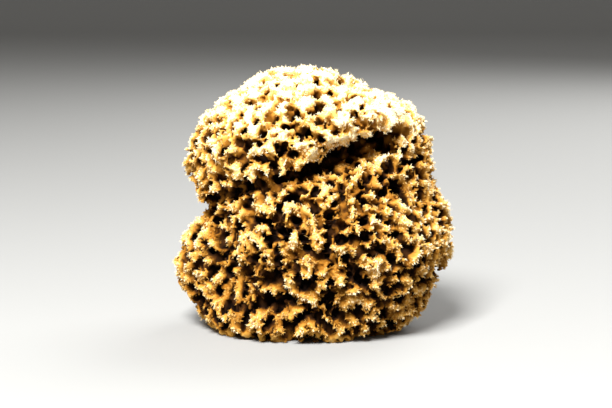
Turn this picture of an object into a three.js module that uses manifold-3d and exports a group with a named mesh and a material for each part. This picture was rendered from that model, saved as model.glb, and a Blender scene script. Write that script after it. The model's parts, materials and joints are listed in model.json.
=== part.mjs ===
// A dried sea sponge: one rounded, lumpy skeleton of springy fibre, with a deep fold across its front,
// a lobe at its lower left, open pores all over and a flat foot where it was cut from the sea bed.
// Millimetres, +Z up, the front faces -Y. The origin is on the surface that the sponge rests on,
// under the middle of its outline.

import * as THREE from "three";
import { ImprovedNoise } from "three/addons/math/ImprovedNoise.js";
import { mergeVertices } from "three/addons/utils/BufferGeometryUtils.js";
import Module from "manifold-3d";

// Driving dimensions of the whole sponge
const WIDTH = 130;
const DEPTH = 112;
const HEIGHT = 121;

// The swellings that the sponge grew by, as shares of width, depth and height: centre, then half-size.
// The centre is measured from the middle of the outline and up from the foot.
const SWELLINGS = {
  crown: { centre: [-0.045, 0.03, 0.615], half: [0.385, 0.43, 0.39] },
  leftShoulder: { centre: [-0.295, 0.05, 0.66], half: [0.165, 0.26, 0.2] },
  shoulderKnob: { centre: [-0.41, 0.0, 0.625], half: [0.058, 0.09, 0.066] },
  rightShoulder: { centre: [0.25, 0.02, 0.625], half: [0.178, 0.3, 0.275] },
  brow: { centre: [0.145, -0.195, 0.83], half: [0.165, 0.17, 0.085] },
  leftCheek: { centre: [-0.17, -0.2, 0.7], half: [0.2, 0.17, 0.12] },
  belly: { centre: [0.055, 0.0, 0.34], half: [0.43, 0.42, 0.34] },
  frontBulge: { centre: [0.06, -0.27, 0.35], half: [0.345, 0.24, 0.285] },
  lowerLeftLobe: { centre: [-0.34, 0.02, 0.245], half: [0.17, 0.26, 0.205] },
  rightFlank: { centre: [0.335, 0.05, 0.355], half: [0.165, 0.3, 0.215] },
  rightHeel: { centre: [0.22, -0.04, 0.17], half: [0.2, 0.3, 0.17] },
  back: { centre: [0.0, 0.24, 0.44], half: [0.37, 0.27, 0.4] },
  foot: { centre: [-0.045, -0.045, 0.085], half: [0.385, 0.385, 0.16] },
};
const BLEND = 7;
const FOOT_SINK = 0.065 * HEIGHT;

// The skin's own waviness: wavelength and height of the broad lumps and of the small knobs
const LUMP = { wavelength: 21, height: 1.5 };
const KNOB = { wavelength: 8, height: 1.5 };

// The fold, from its upper right end to the notch over the lower left lobe, seen from the front:
// across from the middle, up from the foot, half the gap, and how far it goes in
const FOLD = [
  { across: 36, up: 93, gap: 4.5, into: 12 },
  { across: 29, up: 88.5, gap: 6.2, into: 20 },
  { across: 20, up: 84, gap: 6.4, into: 25 },
  { across: 10, up: 79.5, gap: 6.2, into: 25 },
  { across: 0, up: 76.5, gap: 5.2, into: 21 },
  { across: -10, up: 74, gap: 4.2, into: 14 },
  { across: -20, up: 72, gap: 3.5, into: 9 },
  { across: -30, up: 69, gap: 3.4, into: 8 },
  { across: -40, up: 64.5, gap: 4.5, into: 7 },
  { across: -47, up: 60, gap: 4.2, into: 8 },
  { across: -51, up: 57.5, gap: 3.2, into: 5 },
];
const FOLD_LENGTH = 12;
const FOLD_RISE = THREE.MathUtils.degToRad(10);

// Large pores of the front: across from the middle, up from the foot, half-width and half-height
const FRONT_PORES = [
  [5.4, 40, 5.0, 4.0],
  [16.5, 35, 6.0, 4.2],
  [19.5, 29.5, 4.0, 3.2],
  [5.4, 25, 4.8, 3.8],
  [-27, 39, 3.4, 4.8],
  [-13.4, 37.6, 3.2, 2.6],
  [-9.2, 68, 2.2, 4.8],
  [-16, 62.5, 2.2, 3.0],
  [3.5, 60.6, 2.6, 2.2],
  [-4.5, 45, 3.4, 2.3],
  [0.5, 32.9, 2.5, 2.8],
  [-18, 30.5, 3.2, 4.0],
  [28.4, 44, 3.2, 2.5],
  [38.5, 37.4, 4.6, 2.5],
  [30.8, 58, 2.2, 2.6],
  [23.7, 51.6, 3.0, 2.6],
  [15.3, 53.8, 3.2, 1.8],
  [10.5, 48.6, 3.4, 1.9],
  [-11.5, 20.2, 4.6, 4.0],
  [-0.5, 14, 4.4, 3.6],
  [10, 13, 4.6, 3.4],
  [25.6, 8.5, 3.8, 3.2],
  [33, 12.5, 3.6, 3.2],
  [37, 20, 2.6, 2.4],
  [26, 25, 3.0, 2.2],
  [36.5, 28, 2.0, 3.2],
  [-23.7, 84, 2.6, 2.4],
  [-34, 89, 2.6, 3.4],
  [-38.5, 100, 2.0, 2.6],
  [37, 98, 3.2, 3.8],
  [-27, 56.5, 6.5, 4.2],
  [-44, 37, 3.0, 2.2],
  [-45, 24, 2.6, 3.0],
  [-31, 14, 4.2, 3.8],
  [-22, 22, 4.0, 3.4],
  [47, 48, 2.4, 3.0],
];

// Pores everywhere else: how many places are tried, the range of half-widths and how far they lean to the
// small end of it, how flat an opening may be, and the least wall between two pores
const OTHER_PORES = { tries: 1600, least: 2.7, most: 4.9, lean: 1.6, flattest: 0.7, wall: 1.4 };
const SCATTER_SEED = 7;
const TURN_SCATTER = 0.5;

// A pore's depth as a share of its half-width, where its floor ends, and the lip that stands round its mouth
const PORE_DEPTH = { share: 1.9, most: 8.5 };
const PORE_FLOOR = 0.55;
const PORE_LIP = { height: 0.8, width: 0.5 };
const PORE_CLEAR_OF_FOOT = 5;

// Facets of the skin and of the fold
const SKIN_DETAIL = 20;
const SEARCH_STEP = 1;
const SEARCH_HALVINGS = 14;
const FOLD_SIDES = 10;
const FOLD_RINGS = 6;
const WELD = 1e-4;
const SHORTEST_EDGE = 0.3;
const TINY = 1e-6;

const SPONGE_COLOUR = 0xd9b376;
const INTO_FRONT = new THREE.Vector3(0, 1, 0);
const MIDDLE = new THREE.Vector3(0, 0, HEIGHT / 2);
const FAR = Math.max(WIDTH, DEPTH, HEIGHT);

const wasm = await Module();
wasm.setup();

// The same scatter each time
function seededRandom(seed) {
  const multiplier = 1664525;
  const increment = 1013904223;
  const range = 2 ** 32;
  let state = seed;
  return () => {
    state = (Math.imul(state, multiplier) + increment) >>> 0;
    return state / range;
  };
}

function solidOf(geometry) {
  const bare = geometry.clone();
  bare.deleteAttribute("normal");
  bare.deleteAttribute("uv");
  const welded = mergeVertices(bare, WELD);
  return new wasm.Manifold(
    new wasm.Mesh({
      numProp: 3,
      vertProperties: welded.attributes.position.array,
      triVerts: new Uint32Array(welded.index.array),
    }),
  );
}

function geometryOf(solid) {
  const mesh = solid.getMesh();
  const geometry = new THREE.BufferGeometry();
  geometry.setAttribute("position", new THREE.BufferAttribute(mesh.vertProperties, 3));
  geometry.setIndex(new THREE.BufferAttribute(mesh.triVerts, 1));
  geometry.computeVertexNormals();
  return geometry;
}

// Distance from a point to an egg of three half-sizes, negative inside it
function eggDistance(point, egg) {
  const scaled = point.clone().sub(egg.centre).divide(egg.half);
  const length = scaled.length();
  return (length * (length - 1)) / Math.max(scaled.divide(egg.half).length(), TINY);
}

function smoothUnion(a, b) {
  const overlap = Math.max(BLEND - Math.abs(a - b), 0) / BLEND;
  return Math.min(a, b) - (overlap * overlap * BLEND) / 4;
}

const box = new THREE.Vector3(WIDTH, DEPTH, HEIGHT);
const eggs = Object.values(SWELLINGS).map(({ centre, half }) => ({
  centre: new THREE.Vector3(...centre).multiply(box),
  half: new THREE.Vector3(...half).multiply(box),
}));
const noise = new ImprovedNoise();

function wave(point, { wavelength, height }) {
  const at = point.clone().divideScalar(wavelength);
  return height * noise.noise(at.x, at.y, at.z);
}

function bodyDistance(point) {
  const smooth = eggs.map((egg) => eggDistance(point, egg)).reduce(smoothUnion);
  return smooth - wave(point, LUMP) - wave(point, KNOB);
}

function isOutside(direction, distance) {
  return bodyDistance(MIDDLE.clone().addScaledVector(direction, distance)) > 0;
}

// The skin: a ball whose points move out from the middle to the outermost surface of the swellings
function skinGeometry() {
  const geometry = mergeVertices(new THREE.IcosahedronGeometry(1, SKIN_DETAIL).deleteAttribute("uv"));
  const position = geometry.attributes.position;
  const direction = new THREE.Vector3();
  const point = new THREE.Vector3();
  for (let i = 0; i < position.count; i++) {
    direction.fromBufferAttribute(position, i).normalize();
    let inside = FAR;
    while (isOutside(direction, inside)) inside -= SEARCH_STEP;
    let outside = inside + SEARCH_STEP;
    for (let k = 0; k < SEARCH_HALVINGS; k++) {
      const between = (outside + inside) / 2;
      if (isOutside(direction, between)) outside = between;
      else inside = between;
    }
    point.copy(MIDDLE).addScaledVector(direction, inside);
    position.setXYZ(i, point.x, point.y, point.z);
  }
  return geometry;
}

// Brings a shape to the driving width and depth and a given height, standing over the middle of its outline
function fitToSize(geometry, height) {
  geometry.computeBoundingBox();
  const { min, max } = geometry.boundingBox;
  const size = max.clone().sub(min);
  geometry.translate(-(min.x + max.x) / 2, -(min.y + max.y) / 2, -min.z);
  return geometry.scale(WIDTH / size.x, DEPTH / size.y, height / size.z);
}

// Where a ray first meets the skin
function skinPoint(skin, from, along) {
  return new THREE.Raycaster(from, along).intersectObject(skin)[0]?.point;
}

// One hollow of the fold: an egg that lies along the fold's line and goes in
function hollow({ point, gap, into }, inward, line) {
  const geometry = new THREE.SphereGeometry(1, FOLD_SIDES, FOLD_RINGS);
  geometry.rotateX(Math.PI / 2);
  geometry.scale(FOLD_LENGTH, gap, into);
  const side = line.clone().addScaledVector(inward, -line.dot(inward)).normalize();
  const lift = new THREE.Vector3().crossVectors(inward, side);
  geometry.applyMatrix4(new THREE.Matrix4().makeBasis(side, lift, inward));
  geometry.translate(point.x, point.y, point.z);
  return solidOf(geometry);
}

// The fold is a row of overlapping hollows that go in and up under the crown
function foldCutters(skin) {
  const inward = new THREE.Vector3(0, Math.cos(FOLD_RISE), Math.sin(FOLD_RISE));
  const spots = FOLD.map((spot) => ({
    ...spot,
    point: skinPoint(skin, new THREE.Vector3(spot.across, -FAR, spot.up), INTO_FRONT),
  }));
  return spots.map((spot, i) => {
    const before = spots[Math.max(i - 1, 0)].point;
    const after = spots[Math.min(i + 1, spots.length - 1)].point;
    return hollow(spot, inward, before.clone().sub(after));
  });
}

// The pores of the front where they were read, then others spread evenly over the rest
function placePores(skin) {
  const random = seededRandom(SCATTER_SEED);
  const pores = FRONT_PORES.flatMap(([across, up, halfAcross, halfUp]) => {
    const point = skinPoint(skin, new THREE.Vector3(across, -FAR, up), INTO_FRONT);
    return point ? [{ point, halfAcross, halfUp }] : [];
  });
  const goldenAngle = Math.PI * (3 - Math.sqrt(5));
  const { tries, least, most, lean, flattest, wall } = OTHER_PORES;
  for (let i = 0; i < tries; i++) {
    const height = 1 - (2 * i + 1) / tries;
    const turn = i * goldenAngle + TURN_SCATTER * random();
    const round = Math.sqrt(1 - height * height);
    const outward = new THREE.Vector3(round * Math.cos(turn), round * Math.sin(turn), height);
    const half = THREE.MathUtils.lerp(least, most, random() ** lean);
    const halfUp = half * THREE.MathUtils.lerp(flattest, 1, random());
    const point = skinPoint(skin, MIDDLE.clone().addScaledVector(outward, FAR), outward.clone().negate());
    const crowded = pores.some((pore) => {
      const reach = Math.max(pore.halfAcross, pore.halfUp);
      return pore.point.distanceTo(point) < reach + half + wall;
    });
    if (point.z > PORE_CLEAR_OF_FOOT && !crowded) pores.push({ point, halfAcross: half, halfUp });
  }
  return pores;
}

// How far a pore moves the skin at a point: in at its floor, out at its lip, nothing further off
function poreShift(point, pore) {
  const off = point.clone().sub(pore.point);
  const share = Math.hypot(Math.hypot(off.x, off.y) / pore.halfAcross, off.z / pore.halfUp);
  const depth = Math.min(PORE_DEPTH.share * Math.max(pore.halfAcross, pore.halfUp), PORE_DEPTH.most);
  const dug = 1 - THREE.MathUtils.smoothstep(share, PORE_FLOOR, 1);
  const lip = Math.max(1 - Math.abs(share - 1 - PORE_LIP.width / 2) / PORE_LIP.width, 0);
  return PORE_LIP.height * lip - depth * dug;
}

// Digs the pores by moving the skin's points along the way that the skin faces
function digPores(skin) {
  const pores = placePores(skin);
  const geometry = skin.geometry.clone();
  geometry.computeVertexNormals();
  const { position, normal } = geometry.attributes;
  const point = new THREE.Vector3();
  const outward = new THREE.Vector3();
  for (let i = 0; i < position.count; i++) {
    point.fromBufferAttribute(position, i);
    outward.fromBufferAttribute(normal, i);
    const shifts = pores.map((pore) => poreShift(point, pore));
    const deepest = Math.min(...shifts);
    point.addScaledVector(outward, deepest < 0 ? deepest : Math.max(...shifts));
    position.setXYZ(i, point.x, point.y, point.z);
  }
  return geometry;
}

function groundCutter() {
  const slab = new THREE.BoxGeometry(FAR, FAR, FAR);
  slab.translate(0, 0, -FAR / 2);
  return solidOf(slab);
}

// The skin with its foot sunk below the ground, then dug, folded and cut flat
function spongeGeometry() {
  const skin = new THREE.Mesh(fitToSize(skinGeometry(), HEIGHT + FOOT_SINK).translate(0, 0, -FOOT_SINK));
  const cuts = wasm.Manifold.union([...foldCutters(skin), groundCutter()]);
  const pieces = solidOf(digPores(skin)).subtract(cuts).simplify(SHORTEST_EDGE).decompose();
  const whole = pieces.reduce((a, b) => (a.volume() > b.volume() ? a : b));
  return fitToSize(geometryOf(whole), HEIGHT);
}

const sponge = new THREE.Mesh(
  spongeGeometry(),
  new THREE.MeshStandardMaterial({ color: SPONGE_COLOUR, roughness: 0.95, metalness: 0 }),
);
sponge.name = "sponge";

const group = new THREE.Group();
group.add(sponge);
export default group;
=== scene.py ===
import json
import math
import random

import bpy
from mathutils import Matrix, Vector

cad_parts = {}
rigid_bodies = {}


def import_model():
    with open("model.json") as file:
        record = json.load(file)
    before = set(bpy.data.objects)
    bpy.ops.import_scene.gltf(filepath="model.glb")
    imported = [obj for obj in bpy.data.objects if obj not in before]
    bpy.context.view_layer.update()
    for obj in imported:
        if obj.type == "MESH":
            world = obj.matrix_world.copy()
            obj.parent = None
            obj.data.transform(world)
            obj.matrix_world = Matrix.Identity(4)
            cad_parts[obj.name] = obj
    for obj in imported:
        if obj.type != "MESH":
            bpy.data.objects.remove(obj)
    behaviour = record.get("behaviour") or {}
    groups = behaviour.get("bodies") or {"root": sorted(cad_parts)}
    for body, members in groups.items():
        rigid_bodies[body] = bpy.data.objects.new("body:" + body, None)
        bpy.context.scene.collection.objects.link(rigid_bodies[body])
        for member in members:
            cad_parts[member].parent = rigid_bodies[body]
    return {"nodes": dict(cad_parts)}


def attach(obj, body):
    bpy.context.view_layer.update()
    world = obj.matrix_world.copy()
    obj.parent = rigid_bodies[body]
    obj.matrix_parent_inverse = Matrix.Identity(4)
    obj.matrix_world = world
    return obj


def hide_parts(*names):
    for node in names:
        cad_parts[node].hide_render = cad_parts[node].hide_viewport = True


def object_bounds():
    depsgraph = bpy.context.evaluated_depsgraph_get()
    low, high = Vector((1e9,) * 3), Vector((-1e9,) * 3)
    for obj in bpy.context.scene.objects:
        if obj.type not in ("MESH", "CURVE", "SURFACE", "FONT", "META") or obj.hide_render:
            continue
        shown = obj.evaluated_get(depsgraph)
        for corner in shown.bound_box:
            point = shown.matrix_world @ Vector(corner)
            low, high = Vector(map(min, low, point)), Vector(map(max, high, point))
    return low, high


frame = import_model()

cad_low, cad_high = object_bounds()


# The camera
# A long lens looks at the sponge's front from a little above the surface that it rests on.
# The sponge's width in the picture and where its middle lies set how far off the camera stands and its aim.
PICTURE_WIDTH = 612
PICTURE_HEIGHT = 408
SPONGE_WIDTH = 278
MIDDLE_ACROSS = 314.5
MIDDLE_DOWN = 198
LOOK_DOWN = math.radians(8)
LENS = 100
SENSOR = 36

pixels_per_metre = SPONGE_WIDTH / (cad_high.x - cad_low.x)
camera_distance = LENS / SENSOR * PICTURE_WIDTH / pixels_per_metre
across_off = (PICTURE_WIDTH / 2 - MIDDLE_ACROSS) / pixels_per_metre
up_off = (MIDDLE_DOWN - PICTURE_HEIGHT / 2) / pixels_per_metre
camera_right = Vector((1, 0, 0))
camera_up = Vector((0, math.sin(LOOK_DOWN), math.cos(LOOK_DOWN)))
camera_back = Vector((0, -math.cos(LOOK_DOWN), math.sin(LOOK_DOWN)))
aim = (cad_low + cad_high) / 2 + across_off * camera_right + up_off * camera_up
bpy.ops.object.camera_add(
    location=aim + camera_distance * camera_back,
    rotation=(math.pi / 2 - LOOK_DOWN, 0, 0),
)
camera = bpy.context.object
camera.data.lens = LENS
camera.data.sensor_width = SENSOR
bpy.context.scene.camera = camera


# The skeleton
# A sea sponge is one springy net of fibre, dried, with pores of several sizes that run in from its skin.
# It is grown here in the outer layer of the solid, from a field that is full in the walls and empty in
# the pores. The pores close with depth. Lengths are in millimetres where they are not times MM.
MM = 0.001
VOXEL = 0.7 * MM
MARGIN = 2 * MM
SOLID_LEVEL = 10
WELD = 0.01 * MM
GUIDE_SMOOTHING = 30
PORE_STRETCH = 0.45
PORE_CELL = 4.4
PORE_SHARES = (0.42, 0.62)
PORE_FADE = (4.0, 7.0)
SMALL_PORE_CELL = 2.3
SMALL_PORE_SHARES = (0.32, 0.5)
SMALL_PORE_FADE = (0.8, 3.2)
CROWN_RISE = (86.0, 106.0)
CROWN_NARROWING = 0.15
CROWN_FILLING = 2.2
WARP_WAVE = 5.0
WARP_DETAIL = 1.0
WARP_REACH = 3.5
RAGGED_WAVE = 2.0
RAGGED_DETAIL = 1.0
RAGGED_HEIGHT = 4.5
RAGGED_MIDDLE = -3.5
HOLLOW_LEFT = Vector((-8, -50, 80)) * MM
HOLLOW_RIGHT = Vector((28, -50, 91)) * MM
HOLLOW_HALF_HEIGHTS = (3.4, 8.0)
HOLLOW_WIDENING = (0.0, 0.5)
HOLLOW_FLATTENING = 0.4
CREST_WIDTH = 1.3
CREST_FALL = 1.4
SKELETON_TRIANGLES = 195000
PROBE_WAY = (0.131, 0.219, 0.967)
PROBE_REACH = 1.0


def feed(tree, socket, value):
    """Links a node's input to another node's output, or gives it a plain value."""
    if isinstance(value, bpy.types.NodeSocket):
        tree.links.new(value, socket)
    else:
        socket.default_value = value


def add_node(tree, kind, inputs=None, **settings):
    """A node with its settings, and its inputs by name."""
    made = tree.nodes.new(kind)
    for name, value in settings.items():
        setattr(made, name, value)
    for name, value in (inputs or {}).items():
        feed(tree, made.inputs[name], value)
    return made


def reckon(tree, operation, *values):
    """The result of a Math node."""
    made = tree.nodes.new("ShaderNodeMath")
    made.operation = operation
    for socket, value in zip(made.inputs, values):
        feed(tree, socket, value)
    return made.outputs[0]


def reckon_vector(tree, operation, *values):
    """A Vector Math node."""
    made = tree.nodes.new("ShaderNodeVectorMath")
    made.operation = operation
    for socket, value in zip(made.inputs, values):
        feed(tree, socket, value)
    return made


def ramp_between(tree, value, start, end, low, high):
    """A value carried from one range to another and held at its ends."""
    made = add_node(
        tree,
        "ShaderNodeMapRange",
        {"Value": value, "From Min": start, "From Max": end, "To Min": low, "To Max": high},
        interpolation_type="SMOOTHSTEP",
    )
    return made.outputs["Result"]


def new_geometry_tree(name):
    """A modifier's node tree with geometry in and out."""
    tree = bpy.data.node_groups.new(name, "GeometryNodeTree")
    tree.interface.new_socket("Geometry", in_out="INPUT", socket_type="NodeSocketGeometry")
    tree.interface.new_socket("Geometry", in_out="OUTPUT", socket_type="NodeSocketGeometry")
    entry = tree.nodes.new("NodeGroupInput").outputs["Geometry"]
    leave = tree.nodes.new("NodeGroupOutput").inputs["Geometry"]
    return tree, entry, leave


def apply_tree(piece, tree):
    """Runs a node tree on a piece as a modifier and keeps the result as its mesh."""
    bpy.ops.object.select_all(action="DESELECT")
    bpy.context.view_layer.objects.active = piece
    piece.select_set(True)
    modifier = piece.modifiers.new(tree.name, "NODES")
    modifier.node_group = tree
    bpy.ops.object.modifier_apply(modifier=modifier.name)


def depth_in(tree, solid, position):
    """How many millimetres a place is inside a closed solid, negative outside it."""
    near = add_node(
        tree,
        "GeometryNodeProximity",
        {"Geometry": solid, "Sample Position": position},
        target_element="FACES",
    )
    probe = add_node(
        tree,
        "GeometryNodeRaycast",
        {
            "Target Geometry": solid,
            "Source Position": position,
            "Ray Direction": PROBE_WAY,
            "Ray Length": PROBE_REACH,
        },
    )
    leaving = reckon_vector(tree, "DOT_PRODUCT", probe.outputs["Hit Normal"], PROBE_WAY).outputs["Value"]
    inside = reckon(tree, "GREATER_THAN", leaving, 0.0)
    side = reckon(tree, "MULTIPLY_ADD", inside, 2 / MM, -1 / MM)
    return reckon(tree, "MULTIPLY", side, near.outputs["Distance"])


def pore_walls(tree, place, cell, shares, narrowing, depth, fade):
    """How many millimetres a place is from the nearest pore, negative in it. Pores close with depth."""
    pores = add_node(
        tree,
        "ShaderNodeTexVoronoi",
        {"Vector": place, "Scale": 1 / (cell * MM)},
        feature="F1",
    )
    width = ramp_between(tree, pores.outputs["Color"], 0.0, 1.0, *shares)
    past_middle = reckon(tree, "ADD", pores.outputs["Distance"], narrowing)
    wall = reckon(tree, "SUBTRACT", past_middle, width)
    closing = ramp_between(tree, depth, *fade, 0.0, cell)
    return reckon(tree, "MULTIPLY_ADD", wall, cell, closing)


def along_pores(tree, solid, position):
    """A place drawn out towards the skin, so that a pattern on it runs in from the skin as tubes."""
    welded = add_node(tree, "GeometryNodeMergeByDistance", {"Geometry": solid, "Distance": WELD})
    smooth = add_node(
        tree,
        "GeometryNodeBlurAttribute",
        {"Value": position, "Iterations": GUIDE_SMOOTHING},
        data_type="FLOAT_VECTOR",
    )
    guide = add_node(
        tree,
        "GeometryNodeSetPosition",
        {"Geometry": welded.outputs["Geometry"], "Position": smooth.outputs["Value"]},
    )
    near = add_node(
        tree,
        "GeometryNodeProximity",
        {"Geometry": guide.outputs["Geometry"], "Sample Position": position},
        target_element="FACES",
    ).outputs["Position"]
    inward = reckon_vector(tree, "SUBTRACT", position, near).outputs["Vector"]
    return reckon_vector(tree, "MULTIPLY_ADD", inward, (PORE_STRETCH,) * 3, near).outputs["Vector"]


def fold_hollow(tree, position):
    """How many millimetres a place is from the open hollow of the fold, which gapes wider to the right."""
    from_left = reckon_vector(tree, "SUBTRACT", position, HOLLOW_LEFT).outputs["Vector"]
    flattened = reckon_vector(tree, "MULTIPLY", from_left, (1, HOLLOW_FLATTENING, 1)).outputs["Vector"]
    reach = HOLLOW_RIGHT - HOLLOW_LEFT
    share = reckon_vector(tree, "DOT_PRODUCT", flattened, reach / reach.length_squared).outputs["Value"]
    along = reckon(tree, "MINIMUM", reckon(tree, "MAXIMUM", share, 0.0), 1.0)
    nearest = reckon_vector(tree, "MULTIPLY", along, reach).outputs["Vector"]
    distance = reckon_vector(tree, "DISTANCE", flattened, nearest).outputs["Value"]
    half_height = ramp_between(tree, along, *HOLLOW_WIDENING, *HOLLOW_HALF_HEIGHTS)
    return reckon(tree, "SUBTRACT", reckon(tree, "MULTIPLY", distance, 1 / MM), half_height)


def grow_net(tree, solid):
    """The field of the net, meshed: the solid's ragged skin, less the large and the small pores."""
    position = tree.nodes.new("GeometryNodeInputPosition").outputs["Position"]
    depth = depth_in(tree, solid, position)
    warp = add_node(
        tree,
        "ShaderNodeTexNoise",
        {"Vector": position, "Scale": 1 / (WARP_WAVE * MM), "Detail": WARP_DETAIL},
    )
    drawn = along_pores(tree, solid, position)
    place = reckon_vector(
        tree, "MULTIPLY_ADD", warp.outputs["Color"], (WARP_REACH * MM,) * 3, drawn
    ).outputs["Vector"]
    height = add_node(tree, "ShaderNodeSeparateXYZ", {"Vector": position}).outputs["Z"]
    cut = reckon(tree, "MULTIPLY", height, 1 / MM)
    narrowing = ramp_between(tree, cut, *CROWN_RISE, 0.0, CROWN_NARROWING)
    filled = reckon(tree, "ADD", depth, ramp_between(tree, cut, *CROWN_RISE, 0.0, CROWN_FILLING))
    pores = pore_walls(tree, place, PORE_CELL, PORE_SHARES, narrowing, filled, PORE_FADE)
    small_pores = pore_walls(
        tree, place, SMALL_PORE_CELL, SMALL_PORE_SHARES, narrowing, depth, SMALL_PORE_FADE
    )
    ragged = add_node(
        tree,
        "ShaderNodeTexNoise",
        {"Vector": position, "Scale": 1 / (RAGGED_WAVE * MM), "Detail": RAGGED_DETAIL},
    )
    crest = ramp_between(tree, pores, 0.0, CREST_WIDTH, CREST_FALL, 0.0)
    worn = reckon(tree, "ADD", crest, RAGGED_MIDDLE)
    loss = reckon(tree, "MULTIPLY_ADD", ragged.outputs["Fac"], RAGGED_HEIGHT, worn)
    skin = reckon(tree, "SUBTRACT", depth, loss)
    folded = reckon(tree, "MINIMUM", skin, fold_hollow(tree, position))
    body = reckon(tree, "MINIMUM", folded, cut)
    walls = reckon(tree, "MINIMUM", body, reckon(tree, "MINIMUM", pores, small_pores))
    low = cad_low - Vector((MARGIN,) * 3)
    high = cad_high + Vector((MARGIN,) * 3)
    steps = [math.ceil(side / VOXEL) for side in high - low]
    field = add_node(
        tree,
        "GeometryNodeVolumeCube",
        {
            "Density": reckon(tree, "ADD", walls, SOLID_LEVEL),
            "Min": low,
            "Max": high,
            "Resolution X": steps[0],
            "Resolution Y": steps[1],
            "Resolution Z": steps[2],
        },
    )
    net = add_node(
        tree,
        "GeometryNodeVolumeToMesh",
        {"Volume": field.outputs["Volume"], "Threshold": SOLID_LEVEL},
    )
    return net.outputs["Mesh"]


def drop_loose_bits(tree, mesh):
    """Only the largest joined surface: no crumbs in the air and no bubbles shut inside the walls."""
    island = tree.nodes.new("GeometryNodeInputMeshIsland").outputs["Island Index"]
    size = add_node(
        tree,
        "GeometryNodeAccumulateField",
        {"Value": 1.0, "Group ID": island},
        domain="FACE",
    ).outputs["Total"]
    largest = add_node(
        tree,
        "GeometryNodeAttributeStatistic",
        {"Geometry": mesh, "Attribute": size},
        domain="FACE",
    ).outputs["Max"]
    kept = add_node(
        tree,
        "GeometryNodeDeleteGeometry",
        {"Geometry": mesh, "Selection": reckon(tree, "LESS_THAN", size, largest)},
        domain="FACE",
    )
    return kept.outputs["Geometry"]


skeleton = bpy.data.objects.new("sponge_skeleton", frame["nodes"]["sponge"].data.copy())
bpy.context.scene.collection.objects.link(skeleton)
growth, solid, grown = new_geometry_tree("sponge_growth")
growth.links.new(drop_loose_bits(growth, grow_net(growth, solid)), grown)
apply_tree(skeleton, growth)
thinning = skeleton.modifiers.new("thinning", "DECIMATE")
triangles = sum(len(face.vertices) - 2 for face in skeleton.data.polygons)
thinning.ratio = min(SKELETON_TRIANGLES / triangles, 1)
bpy.ops.object.modifier_apply(modifier=thinning.name)

# The skeleton holds how much open air each point sees. The fibre material turns it into painted shade, dark
# brown down in the pores, and painted light, cream on the open tips.
LOOKS = 28
LOOK_REACH = 12 * MM
LOOK_LIFT = 0.25 * MM
LOOK_SMOOTHING = 1


def open_air(tree, mesh):
    """The share of the ways out from a point of the surface that nothing blocks."""
    position = tree.nodes.new("GeometryNodeInputPosition").outputs["Position"]
    normal = tree.nodes.new("GeometryNodeInputNormal").outputs["Normal"]
    start = reckon_vector(tree, "MULTIPLY_ADD", normal, (LOOK_LIFT,) * 3, position).outputs["Vector"]
    golden_angle = math.pi * (3 - math.sqrt(5))
    seen = 0.0
    ways_out = 0.0
    for look in range(LOOKS):
        height = 1 - (2 * look + 1) / LOOKS
        round_reach = math.sqrt(1 - height * height)
        turn = look * golden_angle
        way = (round_reach * math.cos(turn), round_reach * math.sin(turn), height)
        outward = reckon_vector(tree, "DOT_PRODUCT", normal, way).outputs["Value"]
        weight = reckon(tree, "MAXIMUM", outward, 0.0)
        ray = add_node(
            tree,
            "GeometryNodeRaycast",
            {
                "Target Geometry": mesh,
                "Source Position": start,
                "Ray Direction": way,
                "Ray Length": LOOK_REACH,
            },
        )
        free = reckon(tree, "SUBTRACT", 1.0, ray.outputs["Is Hit"])
        seen = reckon(tree, "MULTIPLY_ADD", weight, free, seen)
        ways_out = reckon(tree, "ADD", weight, ways_out)
    return reckon(tree, "DIVIDE", seen, ways_out)


looking, mesh, looked = new_geometry_tree("sponge_open_air")
softened = add_node(
    looking,
    "GeometryNodeBlurAttribute",
    {"Value": open_air(looking, mesh), "Iterations": LOOK_SMOOTHING},
).outputs["Value"]
kept_air = add_node(
    looking,
    "GeometryNodeStoreNamedAttribute",
    {"Geometry": mesh, "Name": "open_air", "Value": softened},
    data_type="FLOAT",
    domain="POINT",
)
looking.links.new(kept_air.outputs["Geometry"], looked)
apply_tree(skeleton, looking)
bpy.ops.object.shade_smooth()

# The dull sponge fibre: its golden colour, with painted shade from the open air, amber and then dark brown
# in the pores, and painted light, cream on the tips
FIBRE_ROUGHNESS = 0.9
FIBRE_SHINE = 0.08
MOTTLE = 0.3
MOTTLE_WAVE = 3 * MM
MOTTLE_DETAIL = 3.0
STRAND_WAVE = 0.6 * MM
STRAND_DETAIL = 2.0
STRAND_HEIGHT = 0.3 * MM
STRAND_STRENGTH = 0.5
# Painted light and shade by height: the fibre is painted lighter towards the top of the crown, where the
# light from above falls, and darker towards the foot.
TOP_LIGHT_RISE = (76 * MM, 118 * MM)
TOP_PAINTED_LIGHT = (0.0, 0.22)
FOOT_SHADE_RISE = (5 * MM, 60 * MM)
FOOT_PAINTED_SHADE = (-0.16, -0.02)
# The tones run from painted shade, near black and dark brown where little open air is seen, through the
# fibre's amber and golden, to painted light, cream where it is open.
TONES = [
    (0.16, (0.006, 0.002, 0.0007, 1)),
    (0.36, (0.042, 0.014, 0.002, 1)),
    (0.53, (0.26, 0.1, 0.009, 1)),
    (0.73, (0.55, 0.28, 0.047, 1)),
    (0.91, (0.76, 0.51, 0.18, 1)),
    (1.0, (0.92, 0.8, 0.54, 1)),
]
fibre = bpy.data.materials.new("sponge_fibre")
fibre.use_nodes = True
fibre_nodes = fibre.node_tree
shader = fibre_nodes.nodes["Principled BSDF"]
shader.inputs["Roughness"].default_value = FIBRE_ROUGHNESS
shader.inputs["Specular IOR Level"].default_value = FIBRE_SHINE
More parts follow.
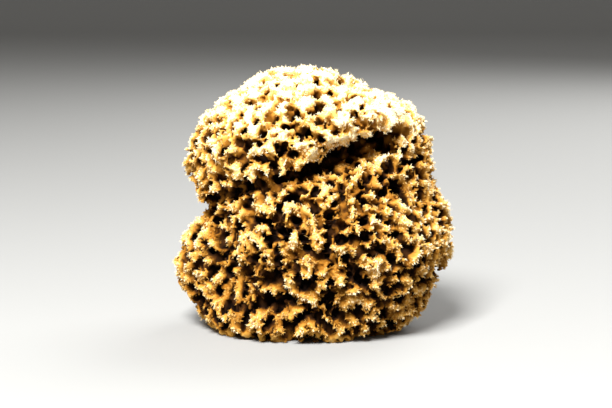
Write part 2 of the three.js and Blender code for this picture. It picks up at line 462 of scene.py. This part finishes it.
# The open air drives the painted shade in the pores and the painted light on the tips.
air = add_node(fibre_nodes, "ShaderNodeAttribute", attribute_name="open_air").outputs["Fac"]
places = fibre_nodes.nodes.new("ShaderNodeTexCoord").outputs["Object"]
mottle = add_node(
    fibre_nodes,
    "ShaderNodeTexNoise",
    {"Vector": places, "Scale": 1 / MOTTLE_WAVE, "Detail": MOTTLE_DETAIL},
).outputs["Fac"]
patchy = reckon(fibre_nodes, "MULTIPLY_ADD", mottle, MOTTLE, -MOTTLE / 2)
height = add_node(fibre_nodes, "ShaderNodeSeparateXYZ", {"Vector": places}).outputs["Z"]
# Painted light on the crown and painted shade towards the foot.
painted_top_light = ramp_between(fibre_nodes, height, *TOP_LIGHT_RISE, *TOP_PAINTED_LIGHT)
painted_foot_shade = ramp_between(fibre_nodes, height, *FOOT_SHADE_RISE, *FOOT_PAINTED_SHADE)
painted_light_by_height = reckon(fibre_nodes, "ADD", painted_top_light, painted_foot_shade)
shade = reckon(fibre_nodes, "ADD", reckon(fibre_nodes, "ADD", air, patchy), painted_light_by_height)
tone = add_node(fibre_nodes, "ShaderNodeValToRGB", {"Fac": shade})
ramp = tone.color_ramp
ramp.elements.remove(ramp.elements[0])
ramp.elements[0].position, ramp.elements[0].color = TONES[0]
for place_on_ramp, colour in TONES[1:]:
    ramp.elements.new(place_on_ramp).color = colour
feed(fibre_nodes, shader.inputs["Base Color"], tone.outputs["Color"])
strands = add_node(
    fibre_nodes,
    "ShaderNodeTexNoise",
    {"Vector": places, "Scale": 1 / STRAND_WAVE, "Detail": STRAND_DETAIL},
).outputs["Fac"]
roughed = add_node(
    fibre_nodes,
    "ShaderNodeBump",
    {"Height": strands, "Strength": STRAND_STRENGTH, "Distance": STRAND_HEIGHT},
).outputs["Normal"]
feed(fibre_nodes, shader.inputs["Normal"], roughed)
skeleton.data.materials.clear()
skeleton.data.materials.append(fibre)
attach(skeleton, "root")
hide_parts("sponge")


# The tufts
# Where the walls end at the skin, the fibre frays into tufts of short stiff spines, with painted light on
# their ends.
# They stand on the rims of the pores all round the sponge, and are kept as one piece to each quarter of it.
TUFT_SEED = 11
TUFT_KINDS = 4
SPINES = 6
SPINE_SIDES = 4
SPINE_LENGTHS = (0.8, 1.8)
SPINE_WIDTH = 0.55
SPINE_LEAN = 0.95
TUFT_AIR = (0.4, 0.85)
TUFTS_PER_AREA = 0.5 / MM**2
TUFT_SIZES = (0.45, 1.1)
TUFT_SWAY = 0.5
TUFT_CLEAR = (3 * MM, 5 * MM)
TIP_PAINTED_LIGHT = 0.3
QUARTERS = {"front": (0, -1, 0), "back": (0, 1, 0), "left": (-1, 0, 0), "right": (1, 0, 0)}


def make_tuft(chance):
    """A tuft with its root at the origin: spines that lean out from one another, with their tips marked."""
    spines = []
    for spine in range(SPINES):
        length = chance.uniform(*SPINE_LENGTHS) * MM
        lean = chance.uniform(0, SPINE_LEAN)
        turn = 2 * math.pi * (spine + chance.random()) / SPINES
        way = Vector((math.sin(lean) * math.cos(turn), math.sin(lean) * math.sin(turn), math.cos(lean)))
        bpy.ops.mesh.primitive_cone_add(
            vertices=SPINE_SIDES,
            radius1=SPINE_WIDTH / 2 * MM,
            radius2=0,
            depth=length,
            end_fill_type="NOTHING",
            location=way * length / 2,
            rotation=(0, lean, turn),
        )
        spines.append(bpy.context.object)
    for spine in spines:
        spine.select_set(True)
    bpy.ops.object.join()
    bpy.ops.object.transform_apply(location=True, rotation=True, scale=True)
    tuft = bpy.context.object
    tips = tuft.data.attributes.new("tip", "FLOAT", "POINT")
    for corner in tuft.data.vertices:
        tips.data[corner.index].value = min(corner.co.length / (SPINE_LENGTHS[0] * MM), 1.0)
    return tuft


def named_value(tree, name):
    """A number that a mesh holds at each of its points."""
    held = add_node(tree, "GeometryNodeInputNamedAttribute", {"Name": name}, data_type="FLOAT")
    return held.outputs["Attribute"]


def in_quarter(tree, way):
    """One on the quarter of the sponge that faces a way, and nothing on the rest."""
    place = tree.nodes.new("GeometryNodeInputPosition").outputs["Position"]
    beside = (way[1], way[0], 0)
    along = reckon_vector(tree, "DOT_PRODUCT", place, way).outputs["Value"]
    across = reckon(tree, "ABSOLUTE", reckon_vector(tree, "DOT_PRODUCT", place, beside).outputs["Value"])
    return reckon(tree, "GREATER_THAN", along, across)


def on_rims(tree, per_area, clear):
    """How thickly something grows on the rims of the pores, with nothing down by the foot."""
    rims = ramp_between(tree, named_value(tree, "open_air"), *TUFT_AIR, 0.0, per_area)
    place = tree.nodes.new("GeometryNodeInputPosition").outputs["Position"]
    height = add_node(tree, "ShaderNodeSeparateXYZ", {"Vector": place}).outputs["Z"]
    return reckon(tree, "MULTIPLY", rims, ramp_between(tree, height, *clear, 0.0, 1.0))


def spread(tree, mesh, kinds, density, sizes, sway):
    """Copies of a collection's pieces, stood on a mesh, leaning out from the middle of the sponge."""
    spots = add_node(
        tree,
        "GeometryNodeDistributePointsOnFaces",
        {"Mesh": mesh, "Density": density, "Seed": TUFT_SEED},
        distribute_method="RANDOM",
    )
    place = tree.nodes.new("GeometryNodeInputPosition").outputs["Position"]
    middle = (cad_low + cad_high) / 2
    away = reckon_vector(tree, "SUBTRACT", place, middle).outputs["Vector"]
    out = reckon_vector(tree, "NORMALIZE", away).outputs["Vector"]
    way = reckon_vector(tree, "ADD", out, spots.outputs["Normal"]).outputs["Vector"]
    standing = add_node(tree, "FunctionNodeAlignRotationToVector", {"Vector": way}, axis="Z")
    swaying = add_node(
        tree,
        "FunctionNodeRandomValue",
        {"Min": (-sway, -sway, 0), "Max": (sway, sway, 2 * math.pi)},
        data_type="FLOAT_VECTOR",
    )
    sway_turn = add_node(tree, "FunctionNodeEulerToRotation", {"Euler": swaying.outputs["Value"]})
    turned = add_node(
        tree,
        "FunctionNodeRotateRotation",
        {"Rotation": standing.outputs["Rotation"], "Rotate By": sway_turn.outputs["Rotation"]},
        rotation_space="LOCAL",
    )
    sizing = add_node(
        tree,
        "FunctionNodeRandomValue",
        {"Min": (sizes[0],) * 3, "Max": (sizes[1],) * 3, "Seed": TUFT_SEED},
        data_type="FLOAT_VECTOR",
    )
    sources = add_node(
        tree,
        "GeometryNodeCollectionInfo",
        {"Collection": kinds, "Separate Children": True},
    )
    copies = add_node(
        tree,
        "GeometryNodeInstanceOnPoints",
        {
            "Points": spots.outputs["Points"],
            "Instance": sources.outputs["Instances"],
            "Pick Instance": True,
            "Rotation": turned.outputs["Rotation"],
            "Scale": sizing.outputs["Value"],
        },
    )
    real = add_node(tree, "GeometryNodeRealizeInstances", {"Geometry": copies.outputs["Instances"]})
    # Painted light: the tips count as more open, so the fibre material paints them lighter.
    air = reckon(tree, "MULTIPLY_ADD", named_value(tree, "tip"), TIP_PAINTED_LIGHT, named_value(tree, "open_air"))
    tips_painted_light = add_node(
        tree,
        "GeometryNodeStoreNamedAttribute",
        {"Geometry": real.outputs["Geometry"], "Name": "open_air", "Value": air},
        data_type="FLOAT",
        domain="POINT",
    )
    return tips_painted_light.outputs["Geometry"]


chance = random.Random(TUFT_SEED)
tuft_kinds = bpy.data.collections.new("tuft_kinds")
for kind in range(TUFT_KINDS):
    bpy.ops.object.select_all(action="DESELECT")
    tuft = make_tuft(chance)
    bpy.context.scene.collection.objects.unlink(tuft)
    tuft_kinds.objects.link(tuft)
for quarter, way in QUARTERS.items():
    tufts = bpy.data.objects.new("sponge_tufts_" + quarter, skeleton.data.copy())
    bpy.context.scene.collection.objects.link(tufts)
    spreading, mesh, grown = new_geometry_tree("sponge_tufts_" + quarter)
    rims = on_rims(spreading, TUFTS_PER_AREA, TUFT_CLEAR)
    density = reckon(spreading, "MULTIPLY", rims, in_quarter(spreading, way))
    standing = spread(spreading, mesh, tuft_kinds, density, TUFT_SIZES, TUFT_SWAY)
    spreading.links.new(standing, grown)
    apply_tree(tufts, spreading)
    tufts.data.materials.clear()
    tufts.data.materials.append(fibre)
    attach(tufts, "root")
for tuft in list(tuft_kinds.objects):
    bpy.data.objects.remove(tuft)
bpy.data.collections.remove(tuft_kinds)


# The stray hairs
# A few long fibres have pulled loose from the walls and curl out over the pores, thin, and made pale by
# painted light.
# They are single bent fibres, rooted on the rims as the tufts are.
HAIR_KINDS = 4
HAIR_LENGTHS = (3.0, 5.5)
HAIR_WIDTH = 0.16
HAIR_CURL = 0.6
HAIR_TAPER = 0.4
HAIR_STEPS = 6
HAIRS_PER_AREA = 0.003 / MM**2
HAIR_SIZES = (0.6, 1.1)
HAIR_SWAY = 1.0
HAIR_CLEAR = (8 * MM, 12 * MM)


def make_hair(chance):
    """A hair with its root at the origin: it rises, then curls over to one side."""
    length = chance.uniform(*HAIR_LENGTHS) * MM
    side = chance.uniform(-HAIR_CURL, HAIR_CURL) * length
    forth = chance.uniform(-HAIR_CURL, HAIR_CURL) * length
    bpy.ops.curve.primitive_bezier_curve_add()
    hair = bpy.context.object
    hair.data.bevel_depth = HAIR_WIDTH / 2 * MM
    hair.data.bevel_resolution = 0
    hair.data.resolution_u = HAIR_STEPS
    root, end = hair.data.splines[0].bezier_points
    root.co = (0, 0, 0)
    root.handle_left = (0, 0, -length / 2)
    root.handle_right = (0, 0, length / 2)
    end.co = (side, forth, 3 * length / 4)
    end.handle_left = (side / 2, forth / 2, length)
    end.handle_right = (3 * side / 2, 3 * forth / 2, length / 2)
    end.radius = HAIR_TAPER
    bpy.ops.object.convert(target="MESH")
    tips = hair.data.attributes.new("tip", "FLOAT", "POINT")
    for corner in hair.data.vertices:
        tips.data[corner.index].value = min(corner.co.length / length, 1.0)
    return hair


hair_kinds = bpy.data.collections.new("hair_kinds")
for kind in range(HAIR_KINDS):
    bpy.ops.object.select_all(action="DESELECT")
    hair = make_hair(chance)
    bpy.context.scene.collection.objects.unlink(hair)
    hair_kinds.objects.link(hair)
hairs = bpy.data.objects.new("sponge_hairs", skeleton.data.copy())
bpy.context.scene.collection.objects.link(hairs)
straying, mesh, grown = new_geometry_tree("sponge_hairs")
rims = on_rims(straying, HAIRS_PER_AREA, HAIR_CLEAR)
straying.links.new(spread(straying, mesh, hair_kinds, rims, HAIR_SIZES, HAIR_SWAY), grown)
apply_tree(hairs, straying)
hairs.data.materials.clear()
hairs.data.materials.append(fibre)
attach(hairs, "root")
for hair in list(hair_kinds.objects):
    bpy.data.objects.remove(hair)
bpy.data.collections.remove(hair_kinds)


# The studio
# A pale sweep stands under and behind the sponge. A soft lamp above the front gives the main light,
# and a wider, weaker one lights the back.
FLOOR_SIZE = 12.0
SWEEP_HEIGHT = 5.0
SWEEP_ROUND = 2.5
SWEEP_SEGMENTS = 24
CARD_COLOUR = (0.34, 0.34, 0.33, 1)
CARD_ROUGHNESS = 0.8
AIR_COLOUR = (1.0, 0.97, 0.93, 1)
AIR_STRENGTH = 0.22
bpy.ops.object.select_all(action="DESELECT")
bpy.ops.mesh.primitive_plane_add(size=FLOOR_SIZE)
sweep = bpy.context.object
sweep.name = "sweep"
bpy.ops.object.mode_set(mode="EDIT")
bpy.ops.mesh.select_mode(type="EDGE")
bpy.ops.mesh.select_all(action="DESELECT")
bpy.ops.object.mode_set(mode="OBJECT")
for edge in sweep.data.edges:
    ends = [sweep.data.vertices[i].co for i in edge.vertices]
    edge.select = all(end.y > 0 for end in ends)
bpy.ops.object.mode_set(mode="EDIT")
bpy.ops.mesh.extrude_region_move(TRANSFORM_OT_translate={"value": (0, 0, SWEEP_HEIGHT)})
bpy.ops.mesh.select_all(action="DESELECT")
bpy.ops.object.mode_set(mode="OBJECT")
for edge in sweep.data.edges:
    ends = [sweep.data.vertices[i].co for i in edge.vertices]
    edge.select = all(end.y > 0 and end.z < MM for end in ends)
bpy.ops.object.mode_set(mode="EDIT")
bpy.ops.mesh.bevel(offset=SWEEP_ROUND, segments=SWEEP_SEGMENTS)
bpy.ops.object.mode_set(mode="OBJECT")
bpy.ops.object.shade_smooth()
card = bpy.data.materials.new("pale_card")
card.use_nodes = True
card_shader = card.node_tree.nodes["Principled BSDF"]
card_shader.inputs["Base Color"].default_value = CARD_COLOUR
card_shader.inputs["Roughness"].default_value = CARD_ROUGHNESS
sweep.data.materials.append(card)

LAMP_AIM = (cad_low + cad_high) / 2
LAMPS = [
    {"place": Vector((-0.3, -0.98, 1.16)), "size": 0.5, "watts": 68},
    {"place": Vector((0.8, 1.0, 1.1)), "size": 1.2, "watts": 24},
]
for lamp_values in LAMPS:
    bpy.ops.object.light_add(type="AREA", location=lamp_values["place"])
    lamp = bpy.context.object
    lamp.rotation_euler = (LAMP_AIM - lamp_values["place"]).to_track_quat("-Z", "Y").to_euler()
    lamp.data.size = lamp_values["size"]
    lamp.data.energy = lamp_values["watts"]
world = bpy.data.worlds.new("studio_air")
bpy.context.scene.world = world
world.use_nodes = True
background = world.node_tree.nodes["Background"]
background.inputs["Color"].default_value = AIR_COLOUR
background.inputs["Strength"].default_value = AIR_STRENGTH
bpy.context.scene.view_settings.view_transform = "Standard"
